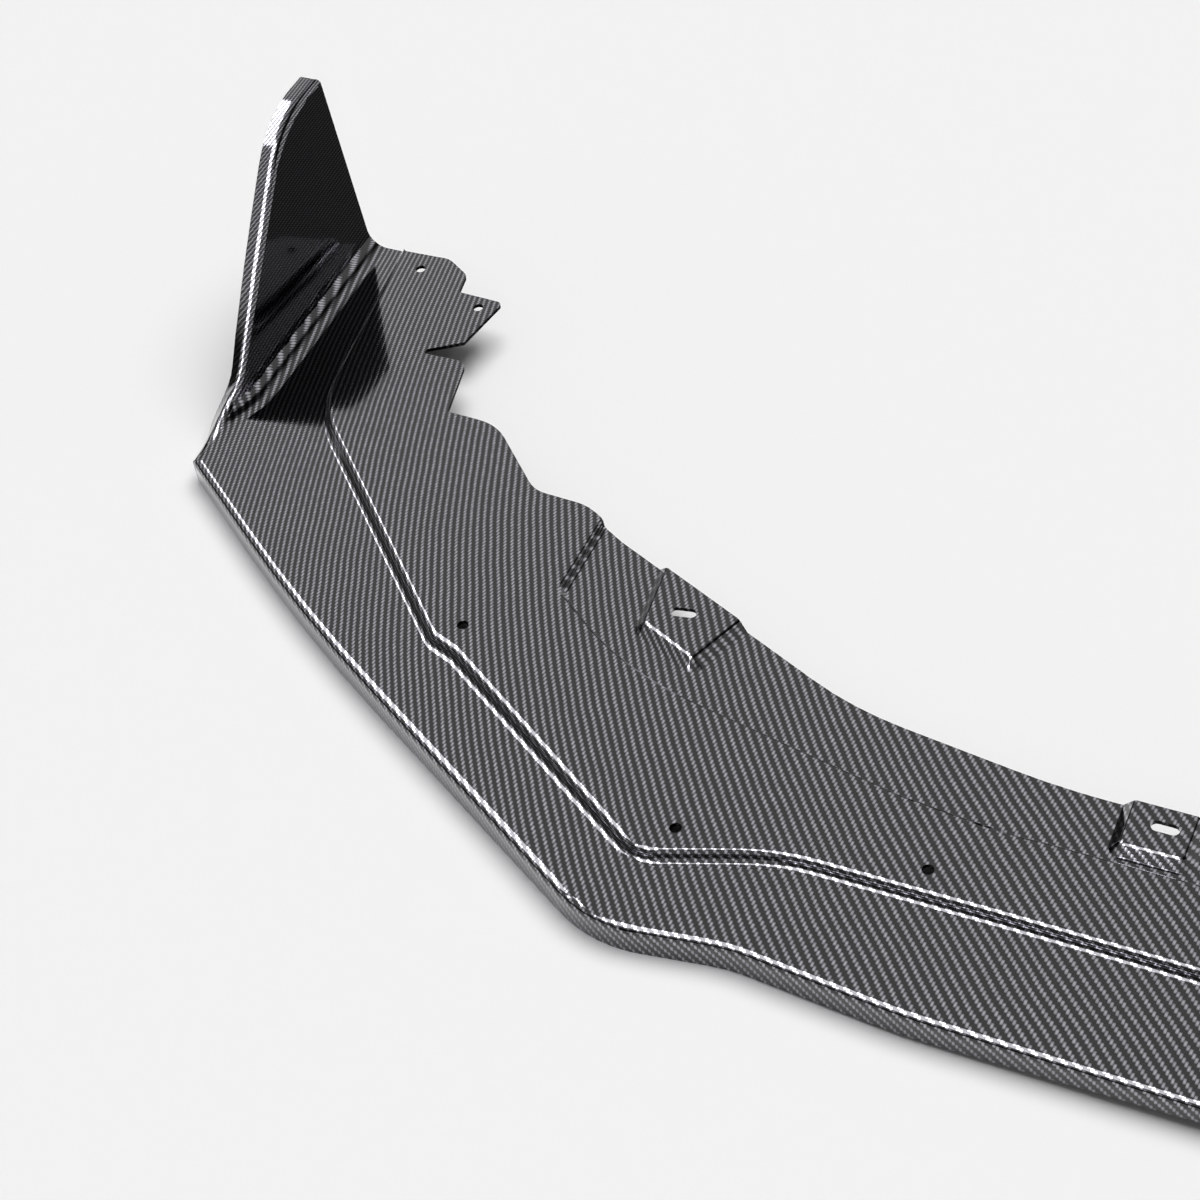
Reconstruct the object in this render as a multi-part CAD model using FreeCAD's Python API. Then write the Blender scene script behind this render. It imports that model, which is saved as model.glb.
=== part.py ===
import FreeCAD, Part
import math
import os

# A front splitter lip, moulded in one piece as a thin laminate: a flat blade with a turned-down
# rim, a raised flange that bolts up under the bumper, a recess with slotted pads, and an
# upswept fin at each end. Sizes are in mm. Outlines are drawn for the left half, with x = 0 on
# the symmetry plane and y = 0 at the front face, and mirrored.

# Laminate
WALL = 3.0

# Heights above the floor
BLADE_TOP = 24.0
STEP_HEIGHT = 10.0
RECESS_DEPTH = 8.0
FIN_TOP = 184.0
CENTRE_LIFT = 9.0

# Plan
DEPTH = 545.0
HALF_WIDTH = 900.0
SIDE = -HALF_WIDTH
FIN_JOIN_X = SIDE + 33.0
BLADE_DEPTH = 81.0
RECESS_LINE = 142.0
REAR_EDGE = 190.0

# Roundings of the section
RIM_ROUND = 6.0
STEP_TOP_ROUND = 4.5
STEP_BASE_ROUND = 4.5
RECESS_TOP_ROUND = 3.5
RECESS_BASE_ROUND = 3.5
LEAST_ROUND = 2.0

# Front edge of the blade, from the outer corner to the centre: x, y, corner radius
OUTER_CORNER = (SIDE, 280.5, 8.0)
FRONT_CORNER = (-439.0, -3.2, 95.0)
FRONT_DIP = (-351.0, 9.5, 130.0)
FRONT_CENTRE = (-236.0, 0.0, 400.0)
ARM_BULGE_SHARE = 0.337
ARM_BULGE = 16.0
ARM_MIDDLE = (
    SIDE + ARM_BULGE_SHARE * (FRONT_CORNER[0] - SIDE),
    OUTER_CORNER[1] + ARM_BULGE_SHARE * (FRONT_CORNER[1] - OUTER_CORNER[1]) - ARM_BULGE,
    1800.0,
)

# Step up to the flange
STEP_HEEL = (SIDE + 70.5, 355.0, 110.0)
STEP_JOG_START = (SIDE + 262.0, 172.0, 22.0)
STEP_JOG_END = (SIDE + 284.0, 164.0, 22.0)
STEP_CORNER = (-430.0, 50.0, 34.0)
STEP_STRAIGHT = (-345.0, BLADE_DEPTH - 1.5, 150.0)
STEP_CENTRE = (-200.0, BLADE_DEPTH, 2000.0)
STEP_TAIL_SLOPE = 0.14

# Recess at the back of the flange
RECESS_END = (SIDE + 329.0, RECESS_LINE + 97.0, 9.0)
RECESS_BEND = (SIDE + 400.0, RECESS_LINE + 45.0, 250.0)
RECESS_STRAIGHT = (-262.0, RECESS_LINE, 700.0)

# Trimmed rear edge, from the end of the arm to the centre: x, share of the arm's run, radius
ARM_RUN = DEPTH - REAR_EDGE
REAR_TRIM = [
    (FIN_JOIN_X, 1.0, 0.0),
    (SIDE + 42.0, 1.0, 4.0),
    (SIDE + 49.0, 0.973, 4.0),
    (SIDE + 89.0, 0.976, 14.0),
    (SIDE + 111.0, 0.938, 8.0),
    (SIDE + 115.0, 0.880, 3.0),
    (SIDE + 154.0, 0.875, 4.0),
    (SIDE + 146.0, 0.732, 3.0),
    (SIDE + 122.0, 0.689, 2.0),
    (SIDE + 122.0, 0.675, 2.0),
    (SIDE + 158.0, 0.677, 10.0),
    (SIDE + 170.0, 0.525, 3.5),
    (SIDE + 212.0, 0.521, 42.0),
    (SIDE + 269.0, 0.369, 26.0),
    (SIDE + 312.0, 0.363, 40.0),
    (SIDE + 347.0, 0.310, 40.0),
    (-346.0, 0.054, 260.0),
    (-200.0, 0.0, 500.0),
]

# Raised pads that stand in the recess with sloping walls: corners of the foot, front side first
PAD_WALL_RUN = 7.5
PAD_CORNER_ROUND = 10.0
PAD_TOP_ROUND = 4.0
OUTER_PAD = [
    (SIDE + 390.0, RECESS_LINE + 82.0),
    (SIDE + 444.0, RECESS_LINE + 58.5),
    (SIDE + 488.0, RECESS_LINE + 166.0),
    (SIDE + 379.0, RECESS_LINE + 182.0),
]
INNER_PAD = [
    (-160.0, RECESS_LINE + 6.5),
    (-106.0, RECESS_LINE + 7.5),
    (-106.0, RECESS_LINE + 98.0),
    (-162.0, RECESS_LINE + 98.0),
]

# Fixing holes: x, y; slots: x, y, turn in degrees
HOLE_RADIUS = 4.0
TAB_HOLE_SHARE = 0.845
FRONT_HOLES = [(-254.0, BLADE_DEPTH + 16.5), (-412.0, BLADE_DEPTH - 5.5)]
ARM_HOLES = [
    (SIDE + 280.0, 187.0),
    (SIDE + 72.0, DEPTH - 26.0),
    (SIDE + 138.0, REAR_EDGE + TAB_HOLE_SHARE * ARM_RUN),
]
SLOT_RADIUS = 4.0
SLOT_LENGTH = 18.0
SLOTS = [(SIDE + 419.0, RECESS_LINE + 103.5, 9.0), (-130.5, RECESS_LINE + 33.0, 0.0)]

# Fin: the side of the blade turned up behind the outer corner, with its rim turned outwards
FIN_START = OUTER_CORNER[1] + 0.5
FIN_RISE_START = FIN_START + 7.0
FIN_RISE_ANGLE = 44.2
FIN_FOOT_ROUND = 90.0
FIN_SHOULDER_ROUND = 90.0
FIN_TIP_ROUND = 5.0
FIN_CREASE_X = SIDE + 11.5
FIN_CREASE_REACH = 15.0
FIN_CREASE_SHARE = 0.9
FIN_LEAN = 4.4
FIN_RETURN = 14.5
FIN_SHIFT_HEIGHT = 30.0
FIN_TURN_LENGTH = 260.0
FIN_STATION_GAP = 11.0

# Lower edge of the rim: lifted off the floor at the centre by two blended curves
LIFT_FOOT = 245.0
LIFT_CROWN = 38.0
LIFT_FOOT_SHARE = 0.88
LIFT_CROWN_SHARE = 0.09

FLANGE_TOP = BLADE_TOP + STEP_HEIGHT
RECESS_FLOOR = FLANGE_TOP - RECESS_DEPTH
PAD_SINK = 1.0
BEYOND = 75.0
REAR_MARGIN = 20.0
FAR_REAR = DEPTH + BEYOND
BELOW = -20.0
ABOVE = FIN_TOP + 20.0
TOLERANCE = 0.01
LEAST_TURN = 0.001


def point(x, y, z=0.0):
    return FreeCAD.Vector(x, y, z)


def rounded_edges(corners, z=0.0):
    """Lines through the corners (x, y, radius), each corner rounded by its own arc."""
    edges = []
    last = point(corners[0][0], corners[0][1], z)
    for before, corner, after in zip(corners, corners[1:], corners[2:]):
        tip = point(corner[0], corner[1], z)
        if corner[2] == 0:
            edges.append(Part.LineSegment(last, tip).toShape())
            last = tip
            continue
        back = (point(before[0], before[1], z) - tip).normalize()
        ahead = (point(after[0], after[1], z) - tip).normalize()
        half_angle = back.getAngle(ahead) / 2
        reach = corner[2] / math.tan(half_angle)
        start = tip + back * reach
        end = tip + ahead * reach
        bisector = (back + ahead).normalize()
        middle = tip + bisector * (corner[2] / math.sin(half_angle) - corner[2])
        edges.append(Part.LineSegment(last, start).toShape())
        edges.append(Part.Arc(start, middle, end).toShape())
        last = end
    edges.append(Part.LineSegment(last, point(corners[-1][0], corners[-1][1], z)).toShape())
    return edges


def both_halves(left_half):
    right_half = [(-x, y, radius) for x, y, radius in reversed(left_half)]
    return left_half + right_half


def closed_behind(left_half, z=0.0):
    """Closed outline: the path over both halves, and a straight line behind it."""
    edges = rounded_edges(both_halves(left_half), z)
    start = edges[0].valueAt(edges[0].FirstParameter)
    end = edges[-1].valueAt(edges[-1].LastParameter)
    edges.append(Part.LineSegment(end, start).toShape())
    return Part.Wire(edges)


def closed_outline(corners):
    """Closed outline with every corner (x, y, radius) rounded."""
    middle = [(corners[0][0] + corners[-1][0]) / 2, (corners[0][1] + corners[-1][1]) / 2, 0.0]
    return Part.Wire(rounded_edges([middle] + corners + [middle]))


def offset_outline(outline, distance):
    if distance == 0:
        return outline
    return outline.makeOffset2D(distance)


def prism(outline, low, high):
    base = outline.copy()
    base.translate(point(0, 0, low))
    return Part.Face(base).extrude(point(0, 0, high - low))


def edges_on(shape, outline, z):
    """Edges of the shape whose middle lies on the outline at that height."""
    path = outline.copy()
    path.translate(point(0, 0, z))
    found = []
    for edge in shape.Edges:
        middle = edge.valueAt((edge.FirstParameter + edge.LastParameter) / 2)
        ahead_of_rear = middle.y < FAR_REAR - REAR_MARGIN / 2
        if abs(middle.z - z) < TOLERANCE and ahead_of_rear:
            if Part.Vertex(middle).distToShape(path)[0] < TOLERANCE:
                found.append(edge)
    return found


def rounded(shape, radius, edges):
    """The shape with those edges rounded; inner bends tighter than the least round stay sharp."""
    return shape.makeFillet(radius, edges) if radius > LEAST_ROUND else shape


def front_outline():
    side = (SIDE, FAR_REAR, 0.0)
    return closed_behind([side, OUTER_CORNER, ARM_MIDDLE, FRONT_CORNER, FRONT_DIP, FRONT_CENTRE])


def step_outline():
    tail_x = STEP_HEEL[0] - (FAR_REAR - STEP_HEEL[1]) * STEP_TAIL_SLOPE
    tail = (tail_x, FAR_REAR, 0.0)
    jog = [STEP_JOG_START, STEP_JOG_END]
    return closed_behind([tail, STEP_HEEL] + jog + [STEP_CORNER, STEP_STRAIGHT, STEP_CENTRE])


def recess_outline():
    tail = (RECESS_END[0], FAR_REAR - REAR_MARGIN, 0.0)
    return closed_behind([tail, RECESS_END, RECESS_BEND, RECESS_STRAIGHT])


def pad_block(foot, inset):
    """One raised pad under the laminate's top surface, with evenly sloping walls."""
    slope = math.atan2(RECESS_DEPTH, PAD_WALL_RUN)
    wall_shift = inset * math.tan(slope / 2)
    foot_wire = closed_outline([(x, y, PAD_CORNER_ROUND) for x, y in foot])
    wires = []
    for height in (-PAD_SINK, RECESS_DEPTH):
        inward = wall_shift + height / math.tan(slope)
        wire = offset_outline(foot_wire, -inward)
        wire.translate(point(0, 0, RECESS_FLOOR - inset + height))
        wires.append(wire)
    pad = Part.makeLoft(wires, True, True)
    top_z = FLANGE_TOP - inset
    top_edges = [edge for edge in pad.Edges if edge.BoundBox.ZMin > top_z - TOLERANCE]
    return rounded(pad, PAD_TOP_ROUND - inset, top_edges)


def mirrored(shape):
    return shape.mirror(point(0, 0), point(1, 0))


def with_pad(body, foot, inset):
    pad = pad_block(foot, inset)
    return body.fuse([pad, mirrored(pad)])


def stack(inset):
    """Solid under the laminate's top surface, or under its bottom surface if inset by the wall."""
    blade_z = BLADE_TOP - inset
    flange_z = FLANGE_TOP - inset
    floor_z = RECESS_FLOOR - inset
    blade_outline = offset_outline(front_outline(), -inset)
    blade = prism(blade_outline, BELOW, blade_z)
    blade = blade.makeFillet(RIM_ROUND - inset, edges_on(blade, blade_outline, blade_z))

    flange_outline = offset_outline(step_outline(), -inset)
    flange = prism(flange_outline, BELOW, flange_z)
    flange = rounded(flange, STEP_TOP_ROUND - inset, edges_on(flange, flange_outline, flange_z))

    hollow_outline = offset_outline(recess_outline(), inset)
    hollow = prism(hollow_outline, floor_z, ABOVE)
    if inset == 0:
        hollow = hollow.makeFillet(RECESS_BASE_ROUND, edges_on(hollow, hollow_outline, floor_z))
    flange = flange.cut(hollow)
    flange = rounded(flange, RECESS_TOP_ROUND - inset, edges_on(flange, hollow_outline, flange_z))

    body = blade.fuse(flange)
    if inset == 0:
        body = body.makeFillet(STEP_BASE_ROUND, edges_on(body, flange_outline, blade_z))
    for foot in (OUTER_PAD, INNER_PAD):
        body = with_pad(body, foot, inset)
    return body


def smooth_step(value, low, high):
    share = min(max((value - low) / (high - low), 0.0), 1.0)
    return share * share * (3 - 2 * share)


def blended_least(first, second):
    """The smaller of two lengths, with a smooth passage where they are alike."""
    power = 4
    return (first ** -power + second ** -power) ** (-1 / power)


def ridge_stages():
    """Along the fin: where its slope lines meet at the foot, and the ends of its curves."""
    angle = math.radians(FIN_RISE_ANGLE)
    foot_reach = FIN_FOOT_ROUND * math.tan(angle / 2)
    shoulder_reach = FIN_SHOULDER_ROUND * math.tan(angle / 2)
    rise_y = FIN_RISE_START + foot_reach
    shoulder_y = rise_y + (FIN_TOP - BLADE_TOP) / math.tan(angle)
    foot_end = rise_y + foot_reach * math.cos(angle)
    shoulder_start = shoulder_y - shoulder_reach * math.cos(angle)
    return rise_y, foot_end, shoulder_start, shoulder_y + shoulder_reach


def fin_height(y):
    """Height of the fin's ridge: a concave foot, a straight rise and a convex shoulder."""
    rise_y, foot_end, shoulder_start, shoulder_end = ridge_stages()
    if y <= FIN_RISE_START:
        return BLADE_TOP
    if y < foot_end:
        run = y - FIN_RISE_START
        return BLADE_TOP + FIN_FOOT_ROUND - math.sqrt(FIN_FOOT_ROUND ** 2 - run ** 2)
    if y <= shoulder_start:
        return BLADE_TOP + (y - rise_y) * math.tan(math.radians(FIN_RISE_ANGLE))
    if y < shoulder_end:
        run = shoulder_end - y
        return FIN_TOP - FIN_SHOULDER_ROUND + math.sqrt(FIN_SHOULDER_ROUND ** 2 - run ** 2)
    return FIN_TOP


def fin_corners(y):
    """Corners of the top surface across the fin: rim end, ridge, crease and blade joint."""
    height = fin_height(y)
    shifted = smooth_step(height, BLADE_TOP, BLADE_TOP + FIN_SHIFT_HEIGHT)
    left_to_turn = 1 - min((y - FIN_START) / FIN_TURN_LENGTH, 1.0)
    direction = math.radians(90) * (1 - left_to_turn ** 3)
    leaning_x = FIN_CREASE_X - (height - BLADE_TOP) * math.tan(math.radians(FIN_LEAN))
    ridge = (SIDE + (leaning_x - SIDE) * shifted, height)
    reach = BLADE_TOP + (FIN_RETURN - BLADE_TOP) * shifted
    rim_end = (ridge[0] - reach * math.sin(direction), ridge[1] - reach * math.cos(direction))
    crease = (FIN_CREASE_X, BLADE_TOP)
    joint = (FIN_JOIN_X, BLADE_TOP)
    return [rim_end, ridge, crease, joint]


def unit(start, end):
    length = math.dist(start, end)
    return ((end[0] - start[0]) / length, (end[1] - start[1]) / length)


def shifted_corners(corners, distance):
    """The same open outline, moved sideways to its right by the distance."""
    normals = []
    for start, end in zip(corners, corners[1:]):
        along = unit(start, end)
        normals.append((along[1], -along[0]))
    moved = []
    for index, corner in enumerate(corners):
        before = normals[max(index - 1, 0)]
        after = normals[min(index, len(normals) - 1)]
        total = (before[0] + after[0], before[1] + after[1])
        scale = 2 * distance / (total[0] ** 2 + total[1] ** 2)
        moved.append((corner[0] + total[0] * scale, corner[1] + total[1] * scale))
    return moved


def bend(before, corner, after):
    """Half of the turn that the section makes at a corner, in radians."""
    along = unit(before, corner)
    onward = unit(corner, after)
    cosine = along[0] * onward[0] + along[1] * onward[1]
    return math.acos(max(min(cosine, 1.0), -1.0)) / 2


def across(start, end, y):
    """Straight edge of the section at y, between two of its points (x, z)."""
    return Part.LineSegment(point(start[0], y, start[1]), point(end[0], y, end[1])).toShape()


def softened_edges(corners, reaches, y):
    """Lines through section corners (x, z), with a round bend of the given reach at each inner one."""
    edges = []
    last = point(corners[0][0], y, corners[0][1])
    for index, reach in enumerate(reaches, start=1):
        before, corner, after = corners[index - 1:index + 2]
        back = unit(corner, before)
        ahead = unit(corner, after)
        start = point(corner[0] + back[0] * reach, y, corner[1] + back[1] * reach)
        end = point(corner[0] + ahead[0] * reach, y, corner[1] + ahead[1] * reach)
        tip = point(corner[0], y, corner[1])
        half_turn = max(bend(before, corner, after), LEAST_TURN)
        pull = 4 / 3 * math.tan(half_turn / 2) / math.tan(half_turn)
        curve = Part.BezierCurve()
        curve.setPoles([start, start + (tip - start) * pull, end + (tip - end) * pull, end])
        edges.append(Part.LineSegment(last, start).toShape())
        edges.append(curve.toShape())
        last = end
    edges.append(Part.LineSegment(last, point(corners[-1][0], y, corners[-1][1])).toShape())
    return edges


def fin_section(y):
    """Closed section of the laminate across the fin, in the plane at y."""
    top = fin_corners(y)
    bottom = shifted_corners(top, WALL)
    room = FIN_CREASE_SHARE * (math.dist(top[1], top[2]) - RIM_ROUND)
    crease_reach = blended_least(room, FIN_CREASE_REACH)
    top_edges = softened_edges(top, (RIM_ROUND, crease_reach), y)
    inner_ridge_reach = RIM_ROUND - WALL * math.tan(bend(*top[0:3]))
    outer_crease_reach = crease_reach + WALL * math.tan(bend(*top[1:4]))
    bottom_edges = softened_edges(bottom, (inner_ridge_reach, outer_crease_reach), y)
    rim_cap = across(bottom[0], top[0], y)
    joint_cap = across(top[-1], bottom[-1], y)
    return Part.Wire([rim_cap] + top_edges + [joint_cap] + bottom_edges[::-1])


def fin_span(start, end, curved):
    """The fin between two places, through close stations where its section changes in a curve."""
    count = math.ceil((end - start) / FIN_STATION_GAP) if curved else 1
    sections = [fin_section(start + (end - start) * index / count) for index in range(count + 1)]
    return Part.makeLoft(sections, True, False)


def fin_side_view():
    """Everything in front of the fin's rear edge, whose top corner is rounded."""
    outline = closed_outline([
        (FIN_START - BEYOND, BELOW, 0.0),
        (DEPTH, BELOW, 0.0),
        (DEPTH, FIN_TOP, FIN_TIP_ROUND),
        (FIN_START - BEYOND, FIN_TOP, 0.0),
    ])
    block = prism(outline, SIDE - BEYOND, FIN_JOIN_X)
    block.rotate(point(0, 0), point(1, 1, 1), 120)
    return block


def fin():
    """Upswept end: the blade's laminate turns up at the crease and its rim turns outwards."""
    shoulder_start, shoulder_end = ridge_stages()[2:]
    turn_end = FIN_START + FIN_TURN_LENGTH
    breaks = sorted([FIN_START, turn_end, shoulder_start, shoulder_end, FAR_REAR])
    spans = []
    for start, end in zip(breaks, breaks[1:]):
        rising_straight = start >= turn_end and end <= shoulder_start
        level = start >= max(turn_end, shoulder_end)
        spans.append(fin_span(start, end, not rising_straight and not level))
    return spans[0].fuse(spans[1:]).common(fin_side_view())


def rear_limit():
    """Everything in front of the trimmed rear edge."""
    front_left = (SIDE - BEYOND, -BEYOND, 0.0)
    rear_left = (SIDE - BEYOND, DEPTH, 0.0)
    trim = [(x, REAR_EDGE + share * ARM_RUN, radius) for x, share, radius in REAR_TRIM]
    return prism(closed_behind([front_left, rear_left] + trim), BELOW, ABOVE)


def below_rim():
    """Everything under the rim's lower edge, which lifts off the floor at the centre."""
    span = LIFT_FOOT - LIFT_CROWN
    half_turn = math.atan2(CENTRE_LIFT, span) / 2
    foot_round = LIFT_FOOT_SHARE * span / math.tan(half_turn)
    crown_round = LIFT_CROWN_SHARE * span / math.tan(half_turn)
    left_half = [
        (SIDE - BEYOND, 2 * BELOW, 0.0),
        (SIDE - BEYOND, 0.0, 0.0),
        (-LIFT_FOOT, 0.0, foot_round),
        (-LIFT_CROWN, CENTRE_LIFT, crown_round),
    ]
    block = prism(closed_behind(left_half), -FAR_REAR, BEYOND)
    block.rotate(point(0, 0), point(1, 0), 90)
    return block


def fin_room():
    """The part of the blade that the fin's own section takes over."""
    return Part.makeBox(BEYOND, FAR_REAR, ABOVE - BELOW, point(FIN_JOIN_X - BEYOND, FIN_START, BELOW))


def slot_cutter(x, y, turn):
    half_slot = SLOT_LENGTH / 2 - SLOT_RADIUS
    box = Part.makeBox(2 * half_slot, 2 * SLOT_RADIUS, ABOVE, point(-half_slot, -SLOT_RADIUS))
    ends = [Part.makeCylinder(SLOT_RADIUS, ABOVE, point(end, 0)) for end in (-half_slot, half_slot)]
    cutter = box.fuse(ends).removeSplitter()
    cutter.rotate(point(0, 0), point(0, 0, 1), turn)
    cutter.translate(point(x, y))
    return cutter


def hole_cutters():
    cutters = [Part.makeCylinder(HOLE_RADIUS, ABOVE, point(x, y)) for x, y in FRONT_HOLES + ARM_HOLES]
    cutters += [slot_cutter(x, y, turn) for x, y, turn in SLOTS]
    return cutters + [mirrored(cutter) for cutter in cutters]


def splitter_lip():
    laminate = stack(0.0).cut(stack(WALL))
    room = fin_room()
    laminate = laminate.common(rear_limit())
    laminate = laminate.cut([room, mirrored(room)])
    end = fin()
    laminate = laminate.fuse([end, mirrored(end)]).removeSplitter()
    laminate = laminate.cut([below_rim()] + hole_cutters())
    laminate.translate(point(0, -DEPTH / 2, 0))
    return laminate.Solids[0]


def main():
    os.makedirs("parts", exist_ok=True)
    splitter_lip().exportStep("parts/splitter_lip.step")


main()
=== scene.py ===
import math

import bpy
from mathutils import Matrix, Vector


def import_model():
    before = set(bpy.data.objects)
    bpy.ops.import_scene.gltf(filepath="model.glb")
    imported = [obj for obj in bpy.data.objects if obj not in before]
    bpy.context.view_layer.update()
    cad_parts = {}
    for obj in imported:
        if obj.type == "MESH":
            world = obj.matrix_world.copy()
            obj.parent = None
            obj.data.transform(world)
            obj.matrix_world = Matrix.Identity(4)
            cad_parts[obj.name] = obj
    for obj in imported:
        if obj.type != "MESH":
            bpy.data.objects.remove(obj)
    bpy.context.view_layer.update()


# Camera, at the height and angle of the photograph
CAMERA_PLACE = Vector((0.0965, -1.0430, 1.2690))
CAMERA_TURN = math.radians(32.26)
CAMERA_PITCH = math.radians(46.0)
CAMERA_ROLL = math.radians(-10.056)
CAMERA_LENS = 75.76
CAMERA_SENSOR = 36.0

# The lip in metres: its front edge, the top of its blade, and the step up to its flange
FRONT_Y = -0.2725
BLADE_TOP = 0.024
STEP_HEIGHT = 0.010
FLANGE_TOP = BLADE_TOP + STEP_HEIGHT

# Lay of the cloth in metres: straight across the middle, then bent back on an arc, with a slight wobble
TOW_WIDTH = 0.0022
STRAIGHT_HALF = 0.20
DRAPE_RADIUS = 1.08
COLUMN_FAN = 1.0
WOBBLE_SIZE = 0.006
WOBBLE_SCALE = 14.0
WOBBLE_DETAIL = 3.0
NOISE_MIDDLE = 0.5

# Twill, counted in tows: how many a float passes over, and when the pattern repeats
FLOAT_LENGTH = 2.0
TWILL_REPEAT = 2 * FLOAT_LENGTH

# Colour of the tows, from their crown down to the gap beside them: painted sheen and painted shade
# The warp is painted light and the weft dark, standing for how light falls along each fibre direction
WARP_PAINTED_SHEEN = (0.48, 0.47, 0.515, 1.0)
WEFT_PAINTED_SHADE = (0.028, 0.028, 0.030, 1.0)
# The gap colour is painted shade: each tow darkens from its crown down into the gap beside it
GAP_PAINTED_SHADE = (0.006, 0.006, 0.007, 1.0)
CROWN_BREADTH = 0.65
CROSSING_LEAST = 0.70

# Gloss of the fibres and of the clear coat over them
FIBRE_ROUGHNESS = 0.09
COAT_ROUGHNESS = 0.015
COAT_IOR = 1.5
RELIEF_STRENGTH = 0.04
RELIEF_DEPTH = 0.0003

# Floor
FLOOR_SIZE = 60.0
FLOOR_COLOUR = (0.89, 0.89, 0.89, 1.0)
FLOOR_ROUGHNESS = 0.9

# Surround: its light, and how bright it looks
SKY_LEVEL = 0.18
PALE = 0.82
WHITE = (1.0, 1.0, 1.0, 1.0)

# Black cards in the surround. Each pair is two parts of a direction between which a card's edge fades.
CARD_SHARE = 0.96
LOW_CARD_SIDE = (-0.05, 0.10)
LOW_CARD_TOP = (0.18, 0.40)
HIGH_CARD_SIDE = (0.05, 0.45)
HIGH_CARD_FOOT = (0.45, 0.62)
HIGH_CARD_FRONT = (-0.60, -0.30)

# Black flag on the floor
FLAG_CORNER = (-0.86, 0.06)
FLAG_SIZE = (1.2, 0.8)
FLAG_HEIGHT = 0.0005
FLAG_COLOUR = (0.06, 0.06, 0.06, 1.0)
FLAG_ROUGHNESS = 1.0

# Overhead light, with its width in degrees
OVERHEAD_LEVEL = 0.865
OVERHEAD_WIDTH = 50.0
OVERHEAD_PLACE = (0.0, 0.0, 3.0)
OVERHEAD_AIM = Vector((-0.15, -0.30, -1.0))

# Softboxes, with their angles in degrees as seen from the lip, and the azimuth counted from +X
LIP_MIDDLE = Vector((-0.4, 0.0, 0.0))
SOFTBOX_DISTANCE = 20.0
SOFTBOX_COLOUR = (0.96, 0.95, 1.0)
SOFTBOXES = {
    "left": {"azimuth": 170.0, "rise": 50.0, "half_width": 21.0, "half_height": 9.0, "level": 9.0},
    "front": {"azimuth": 246.0, "rise": 54.0, "half_width": 13.5, "half_height": 20.0, "level": 9.0},
}

# The mix node's sockets for each kind of value: first input, second input, output
MIX_SOCKETS = {"RGBA": (6, 7, 2), "FLOAT": (2, 3, 0)}


class Nodes:
    """Short spellings for building a node tree."""

    def __init__(self, tree):
        self.tree = tree

    def new(self, kind, **settings):
        node = self.tree.nodes.new(kind)
        for name, value in settings.items():
            setattr(node, name, value)
        return node

    def feed(self, socket, value):
        if isinstance(value, bpy.types.NodeSocket):
            self.tree.links.new(value, socket)
        else:
            socket.default_value = value

    def math(self, operation, *values):
        node = self.new("ShaderNodeMath", operation=operation)
        for socket, value in zip(node.inputs, values):
            self.feed(socket, value)
        return node.outputs[0]

    def mix(self, kind, share, low, high):
        node = self.new("ShaderNodeMix", data_type=kind)
        first, second, result = MIX_SOCKETS[kind]
        self.feed(node.inputs["Factor"], share)
        self.feed(node.inputs[first], low)
        self.feed(node.inputs[second], high)
        return node.outputs[result]

    def split(self, vector):
        node = self.new("ShaderNodeSeparateXYZ")
        self.feed(node.inputs[0], vector)
        return node.outputs

    def fade(self, value, edge):
        """0 below the first value of the edge, 1 above the second, and smooth between them."""
        node = self.new("ShaderNodeMapRange", interpolation_type="SMOOTHSTEP")
        self.feed(node.inputs["Value"], value)
        node.inputs["From Min"].default_value, node.inputs["From Max"].default_value = edge
        return node.outputs[0]


def fabric_coordinates(n, place):
    """Where a point lies in the cloth: along the lip and across it.

    The long tows bend back on an arc towards the swept ends. The cross tows stay nearly fore and aft,
    so the cloth is sheared there. Up the fin the cloth goes on outwards, and it climbs the step.
    """
    x, y, z = n.split(place)
    fin_rise = n.math("MAXIMUM", n.math("SUBTRACT", z, FLANGE_TOP), 0.0)
    out = n.math("ADD", n.math("ABSOLUTE", x), fin_rise)
    behind = n.math("SUBTRACT", y, FRONT_Y)
    bent = n.math("MAXIMUM", n.math("SUBTRACT", out, STRAIGHT_HALF), 0.0)
    turn = n.math("ARCSINE", n.math("DIVIDE", bent, DRAPE_RADIUS))
    fan = n.math("MULTIPLY", n.math("MULTIPLY", bent, COLUMN_FAN), n.math("MULTIPLY", behind, behind))
    arc = n.math("ADD", n.math("MULTIPLY", turn, DRAPE_RADIUS), fan)
    along = n.math("ADD", n.math("MINIMUM", out, STRAIGHT_HALF), arc)
    along = n.math("MULTIPLY", along, n.math("SIGN", x))
    swept = n.math("MULTIPLY", n.math("SUBTRACT", 1.0, n.math("COSINE", turn)), DRAPE_RADIUS)
    climb = n.math("MINIMUM", n.math("SUBTRACT", z, BLADE_TOP), STEP_HEIGHT)
    across = n.math("ADD", n.math("SUBTRACT", behind, swept), climb)
    return along, across


def wobble(n, place):
    """How far the cross tows stray to the side."""
    noise = n.new("ShaderNodeTexNoise")
    n.feed(noise.inputs["Vector"], place)
    noise.inputs["Scale"].default_value = WOBBLE_SCALE
    noise.inputs["Detail"].default_value = WOBBLE_DETAIL
    return n.math("MULTIPLY", n.math("SUBTRACT", noise.outputs["Fac"], NOISE_MIDDLE), WOBBLE_SIZE)


def crossing_tone(n, column_cell, row_cell):
    """A slightly different lightness at each crossing, since no two tows lie alike."""
    cell = n.new("ShaderNodeCombineXYZ")
    n.feed(cell.inputs[0], column_cell)
    n.feed(cell.inputs[1], row_cell)
    chance = n.new("ShaderNodeTexWhiteNoise", noise_dimensions="2D")
    n.feed(chance.inputs["Vector"], cell.outputs[0])
    return n.mix("FLOAT", chance.outputs["Value"], CROSSING_LEAST, 1.0)


def arch(n, share):
    """A rounded height that starts and ends at nothing."""
    return n.math("SINE", n.math("MULTIPLY", share, math.pi))


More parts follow.
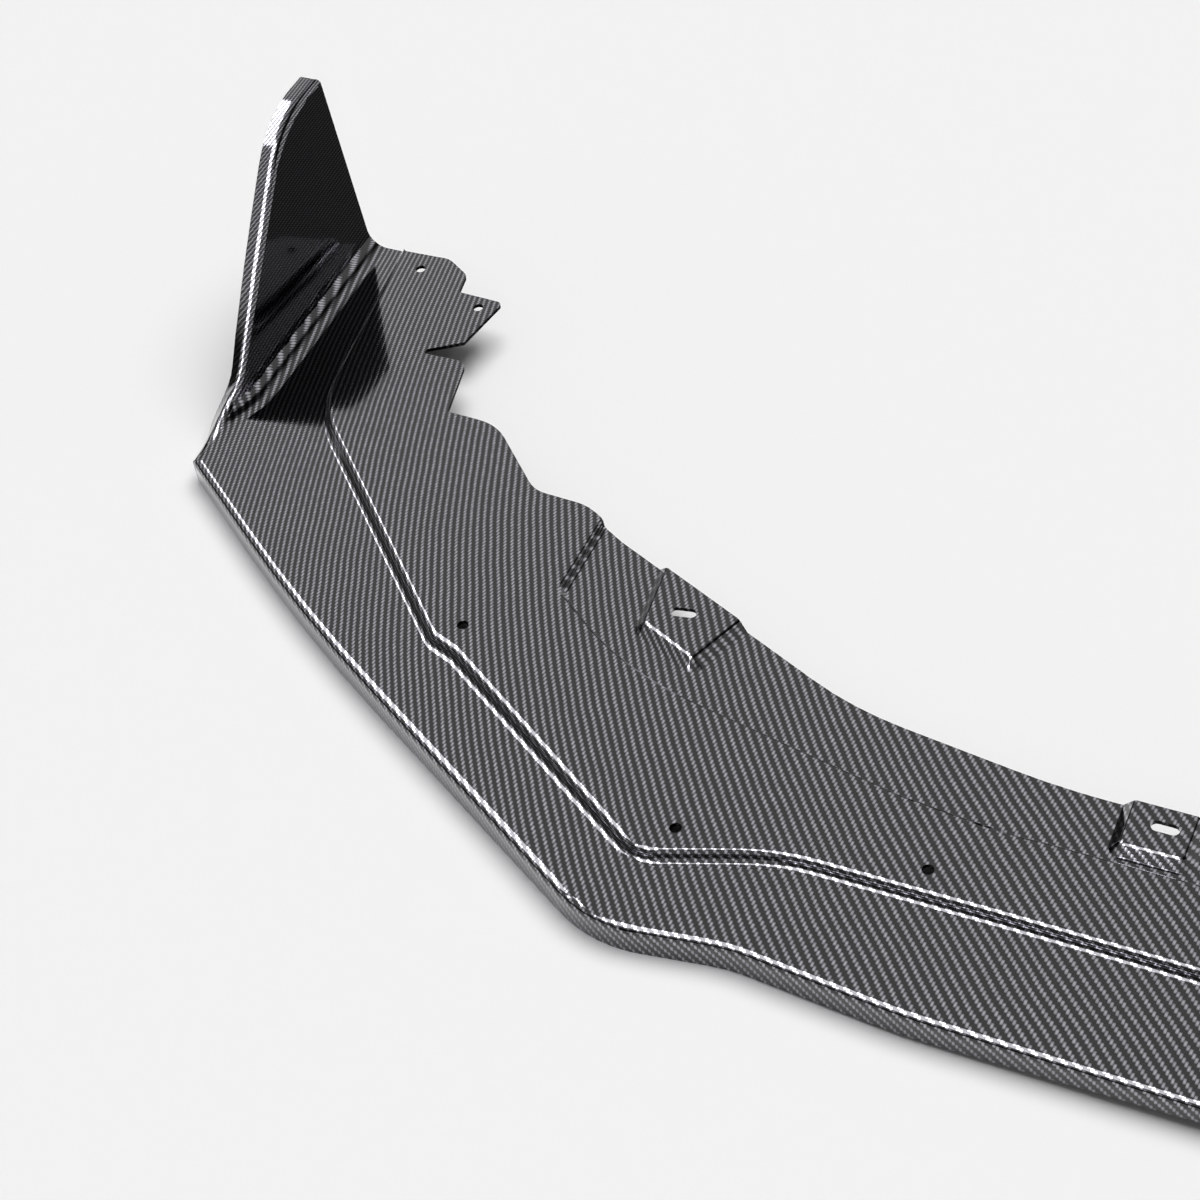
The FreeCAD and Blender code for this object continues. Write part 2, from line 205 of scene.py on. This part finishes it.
def twill(n, place):
    """Two-over-two twill: which tow is on top, its rounded height, and the crossing's lightness."""
    along, across = fabric_coordinates(n, place)
    column = n.math("DIVIDE", n.math("ADD", along, wobble(n, place)), TOW_WIDTH)
    row = n.math("DIVIDE", across, TOW_WIDTH)
    column_part = n.math("FRACT", column)
    row_part = n.math("FRACT", row)
    column_cell = n.math("FLOOR", column)
    row_cell = n.math("FLOOR", row)
    phase = n.math("FLOORED_MODULO", n.math("ADD", column_cell, row_cell), TWILL_REPEAT)
    warp_up = n.math("LESS_THAN", phase, FLOAT_LENGTH)
    weft_phase = n.math("SUBTRACT", phase, FLOAT_LENGTH)
    warp_run = n.math("DIVIDE", n.math("ADD", phase, row_part), FLOAT_LENGTH)
    weft_run = n.math("DIVIDE", n.math("ADD", weft_phase, column_part), FLOAT_LENGTH)
    run = n.mix("FLOAT", warp_up, weft_run, warp_run)
    breadth = n.mix("FLOAT", warp_up, row_part, column_part)
    relief = n.math("MULTIPLY", arch(n, run), arch(n, breadth))
    return warp_up, relief, crossing_tone(n, column_cell, row_cell)


def carbon_laminate():
    material = bpy.data.materials.new("carbon_laminate")
    material.use_nodes = True
    tree = material.node_tree
    tree.nodes.clear()
    n = Nodes(tree)
    place = n.new("ShaderNodeTexCoord").outputs["Object"]
    warp_up, relief, crossing = twill(n, place)
    # Painted shade: each tow darkens from its crown down to the gap, times a tone that differs at random
    # at each crossing
    tone = n.math("MULTIPLY", n.math("POWER", relief, CROWN_BREADTH), crossing)
    # Painted sheen and shade: warp tows painted light, weft tows painted dark, for how light falls along
    # each fibre
    tow_painted_sheen = n.mix("RGBA", warp_up, WEFT_PAINTED_SHADE, WARP_PAINTED_SHEEN)
    shader = n.new("ShaderNodeBsdfPrincipled")
    n.feed(shader.inputs["Base Color"], n.mix("RGBA", tone, GAP_PAINTED_SHADE, tow_painted_sheen))
    shader.inputs["Metallic"].default_value = 1.0
    shader.inputs["Roughness"].default_value = FIBRE_ROUGHNESS
    shader.inputs["Coat Weight"].default_value = 1.0
    shader.inputs["Coat Roughness"].default_value = COAT_ROUGHNESS
    shader.inputs["Coat IOR"].default_value = COAT_IOR
    bump = n.new("ShaderNodeBump")
    bump.inputs["Strength"].default_value = RELIEF_STRENGTH
    bump.inputs["Distance"].default_value = RELIEF_DEPTH
    n.feed(bump.inputs["Height"], relief)
    n.feed(shader.inputs["Normal"], bump.outputs[0])
    output = n.new("ShaderNodeOutputMaterial")
    n.feed(output.inputs["Surface"], shader.outputs[0])
    return material


def matt(name, colour, roughness):
    material = bpy.data.materials.new(name)
    material.use_nodes = True
    shader = material.node_tree.nodes["Principled BSDF"]
    shader.inputs["Base Color"].default_value = colour
    shader.inputs["Roughness"].default_value = roughness
    shader.inputs["Specular IOR Level"].default_value = 0.0
    return material


def floor():
    bpy.ops.mesh.primitive_plane_add(size=FLOOR_SIZE, location=(0.0, 0.0, 0.0))
    plane = bpy.context.object
    plane.name = "floor"
    plane.data.materials.append(matt("floor", FLOOR_COLOUR, FLOOR_ROUGHNESS))


def dark_cards(n):
    """Share of black card that gloss meets: low on the left, and high on the right."""
    x, y, z = n.split(n.new("ShaderNodeTexCoord").outputs["Generated"])
    leftward = n.math("MULTIPLY", x, -1.0)
    below = n.math("SUBTRACT", 1.0, n.fade(z, LOW_CARD_TOP))
    low = n.math("MULTIPLY", n.fade(leftward, LOW_CARD_SIDE), below)
    high = n.math("MULTIPLY", n.fade(x, HIGH_CARD_SIDE), n.fade(z, HIGH_CARD_FOOT))
    high = n.math("MULTIPLY", high, n.fade(y, HIGH_CARD_FRONT))
    return n.math("MULTIPLY", n.math("MAXIMUM", low, high), CARD_SHARE)


def world():
    """A pale surround with black cards that only gloss sees, and a low level of light from all round."""
    scene = bpy.context.scene
    scene.world = bpy.data.worlds.new("studio")
    scene.world.use_nodes = True
    n = Nodes(scene.world.node_tree)
    path = n.new("ShaderNodeLightPath")
    glossy = path.outputs["Is Glossy Ray"]
    clear = n.math("MAXIMUM", path.outputs["Is Camera Ray"], path.outputs["Is Transmission Ray"])
    seen = n.math("MAXIMUM", glossy, clear)
    card = n.math("MULTIPLY", glossy, dark_cards(n))
    surround = n.math("MULTIPLY", PALE, n.math("SUBTRACT", 1.0, card))
    background = scene.world.node_tree.nodes["Background"]
    background.inputs["Color"].default_value = WHITE
    n.feed(background.inputs["Strength"], n.mix("FLOAT", seen, SKY_LEVEL, surround))


def lamp(name, kind, place, aim):
    data = bpy.data.lights.new(name, kind)
    thing = bpy.data.objects.new(name, data)
    thing.location = place
    thing.rotation_euler = aim.to_track_quat("-Z", "Y").to_euler()
    bpy.context.collection.objects.link(thing)
    thing.visible_camera = False
    return thing


def softbox(name, azimuth, rise, half_width, half_height, level):
    """A softbox for the gloss alone, with its brightness where 1 is white."""
    around = math.radians(azimuth)
    up = math.radians(rise)
    away = Vector((math.cos(around) * math.cos(up), math.sin(around) * math.cos(up), math.sin(up)))
    thing = lamp(name, "AREA", LIP_MIDDLE + away * SOFTBOX_DISTANCE, -away)
    data = thing.data
    data.shape = "RECTANGLE"
    data.size = 2 * SOFTBOX_DISTANCE * math.tan(math.radians(half_width))
    data.size_y = 2 * SOFTBOX_DISTANCE * math.tan(math.radians(half_height))
    data.color = SOFTBOX_COLOUR
    data.energy = level * math.pi * data.size * data.size_y
    thing.visible_diffuse = False


def overhead():
    """Wide soft light from above, which gives the floor most of its light and the lip its shadow."""
    thing = lamp("overhead", "SUN", OVERHEAD_PLACE, OVERHEAD_AIM)
    thing.data.energy = OVERHEAD_LEVEL * math.pi
    thing.data.angle = math.radians(OVERHEAD_WIDTH)
    thing.visible_glossy = False


def flag():
    """A black flag behind the arm for the gloss alone, which keeps the fin's inner face dark."""
    x, y = FLAG_CORNER
    width, depth = FLAG_SIZE
    bpy.ops.mesh.primitive_plane_add(size=1.0, location=(x + width / 2, y + depth / 2, FLAG_HEIGHT))
    card = bpy.context.object
    card.name = "flag"
    card.scale = (width, depth, 1.0)
    card.data.materials.append(matt("flag", FLAG_COLOUR, FLAG_ROUGHNESS))
    card.visible_camera = False
    card.visible_diffuse = False
    card.visible_transmission = False
    card.visible_volume_scatter = False
    card.visible_shadow = False


def camera():
    forward = Vector((
        -math.sin(CAMERA_TURN) * math.cos(CAMERA_PITCH),
        math.cos(CAMERA_TURN) * math.cos(CAMERA_PITCH),
        -math.sin(CAMERA_PITCH),
    ))
    level_right = Vector((math.cos(CAMERA_TURN), math.sin(CAMERA_TURN), 0.0))
    level_up = level_right.cross(forward)
    right = level_right * math.cos(CAMERA_ROLL) + level_up * math.sin(CAMERA_ROLL)
    up = level_up * math.cos(CAMERA_ROLL) - level_right * math.sin(CAMERA_ROLL)
    data = bpy.data.cameras.new("camera")
    data.lens = CAMERA_LENS
    data.sensor_width = CAMERA_SENSOR
    eye = bpy.data.objects.new("camera", data)
    bpy.context.collection.objects.link(eye)
    turn = Matrix((right, up, -forward)).transposed()
    eye.matrix_world = Matrix.Translation(CAMERA_PLACE) @ turn.to_4x4()
    bpy.context.scene.camera = eye


def main():
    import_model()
    material = carbon_laminate()
    for node in [o for o in bpy.data.objects if o.type == "MESH"]:
        node.data.materials.clear()
        node.data.materials.append(material)
    floor()
    world()
    for name, settings in SOFTBOXES.items():
        softbox(name, **settings)
    overhead()
    flag()
    camera()
    bpy.context.scene.view_settings.view_transform = "Standard"


main()
